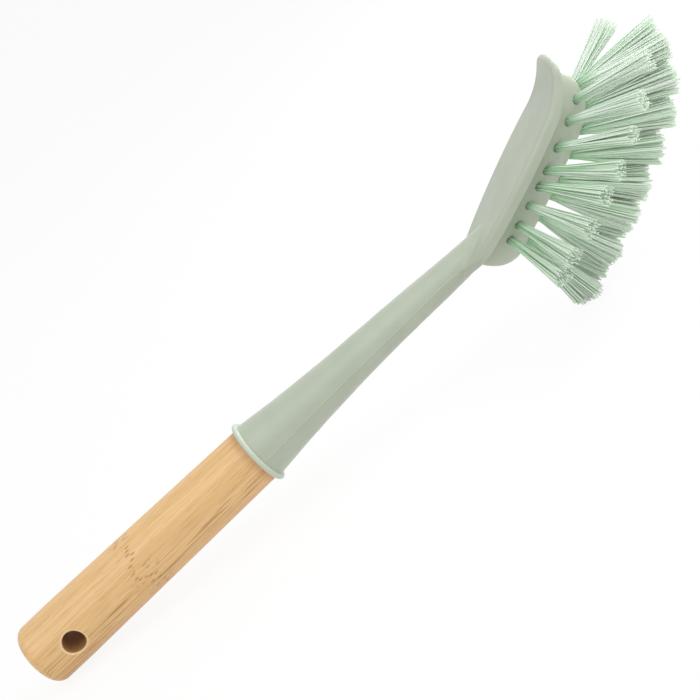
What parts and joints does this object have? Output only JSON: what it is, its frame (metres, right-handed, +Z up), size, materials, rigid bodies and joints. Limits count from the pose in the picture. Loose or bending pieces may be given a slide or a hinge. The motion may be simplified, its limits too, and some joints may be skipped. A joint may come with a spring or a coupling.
{
  "type": "dish brush",
  "caption": "Dish brush: round bamboo handle with a hang hole, tapering moulded neck, leaf-shaped head with a curled scraper tip, and bristle tufts fanned over a domed underside.",
  "frame": {"origin": "middle of the brush's bounding box at floor level, with the brush set down on its bristles and tail", "axes": "+X from the tail to the head, +Y to the side that is far in the picture, +Z up, away from the bristles"},
  "size_m": [0.2852, 0.068, 0.0762],
  "materials": {
    "bamboo": "sanded, oiled",
    "moulding": "satin as moulded",
    "bristle": "smooth drawn filament",
    "anchor": "cut flat wire"
  },
  "bodies": {
    "root": {"bamboo_handle": "bamboo", "moulded_head": "moulding", "anchor_wires": "anchor", "tuft_near_1": "bristle", "tuft_near_2": "bristle", "tuft_near_3": "bristle", "tuft_near_4": "bristle", "tuft_near_5": "bristle", "tuft_near_6": "bristle", "tuft_near_7": "bristle", "tuft_near_8": "bristle", "tuft_crest_1": "bristle", "tuft_crest_2": "bristle", "tuft_crest_3": "bristle", "tuft_crest_4": "bristle", "tuft_crest_5": "bristle", "tuft_crest_6": "bristle", "tuft_crest_7": "bristle", "tuft_crest_8": "bristle", "tuft_far_1": "bristle", "tuft_far_2": "bristle", "tuft_far_3": "bristle", "tuft_far_4": "bristle", "tuft_far_5": "bristle", "tuft_far_6": "bristle", "tuft_far_7": "bristle", "tuft_far_8": "bristle"}
  },
  "joints": []
}
